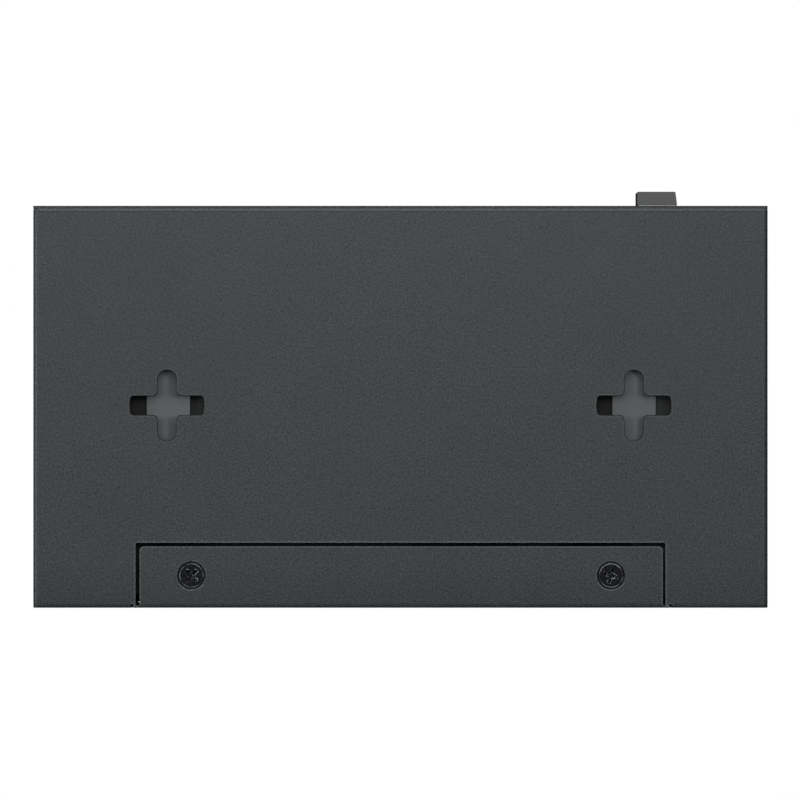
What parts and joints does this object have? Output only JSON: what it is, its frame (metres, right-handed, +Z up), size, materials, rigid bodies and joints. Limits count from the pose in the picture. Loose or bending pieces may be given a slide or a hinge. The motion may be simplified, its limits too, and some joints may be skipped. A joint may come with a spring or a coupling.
{
  "type": "desktop poe switch",
  "caption": "Slim desktop network switch in a folded steel case, with power-feeding sockets and status lights in front, wall-mounting keyholes underneath and a power inlet behind.",
  "frame": {"origin": "centre of the case's flat underside", "axes": "+X to the right for someone facing the sockets, -Y out of the sockets, +Z up"},
  "size_m": [0.19, 0.1078, 0.027],
  "materials": {
    "case_paint": "fine-textured charcoal powder coat on steel sheet",
    "galvanised_steel": "galvanised steel sheet, dull",
    "black_screws": "black oxide steel",
    "plated_brass": "turned brass",
    "plated_screws": "zinc-plated steel",
    "circuit_board": "black solder mask",
    "socket_plastic": "black moulded nylon",
    "tinned_shield": "tinned steel sheet",
    "gold_contacts": "gold-plated spring wire",
    "lamp_block_plastic": "black moulded plastic",
    "lamp_lenses": "milky clear plastic",
    "inlet_plastic": "grey moulded plastic",
    "nickel_pin": "nickel-plated brass",
    "moulded_epoxy": "black moulded epoxy",
    "thermal_rubber": "grey thermal rubber",
    "anodised_aluminium": "black anodised extrusion",
    "crystal_can": "nickel-plated can",
    "ferrite": "dark ferrite",
    "capacitor_sleeve": "bare aluminium can",
    "fuse_ceramic": "white ceramic with tinned ends"
  },
  "bodies": {
    "root": {"base_tray": "case_paint", "top_cover": "case_paint", "keyhole_bridge_left": "galvanised_steel", "keyhole_bridge_right": "galvanised_steel", "cover_screws": "black_screws", "cover_standoffs": "plated_brass", "board_standoffs": "plated_brass", "board_screws": "plated_screws", "main_board": "circuit_board", "poe_port_housing": "socket_plastic", "poe_port_shield": "tinned_shield", "poe_port_contacts": "gold_contacts", "uplink_port_housing": "socket_plastic", "uplink_port_shield": "tinned_shield", "uplink_port_contacts": "gold_contacts", "led_holder": "lamp_block_plastic", "status_leds": "lamp_lenses", "power_inlet_housing": "inlet_plastic", "power_inlet_pin": "nickel_pin", "power_inlet_spring": "nickel_pin", "port_transformers": "moulded_epoxy", "switch_chip": "moulded_epoxy", "thermal_pad": "thermal_rubber", "heatsink": "anodised_aluminium", "poe_controller_chip": "moulded_epoxy", "flash_chip": "moulded_epoxy", "crystal": "crystal_can", "input_choke": "ferrite", "storage_inductor": "ferrite", "filter_capacitors": "capacitor_sleeve", "power_transistors": "moulded_epoxy", "fuse": "fuse_ceramic"}
  },
  "joints": []
}
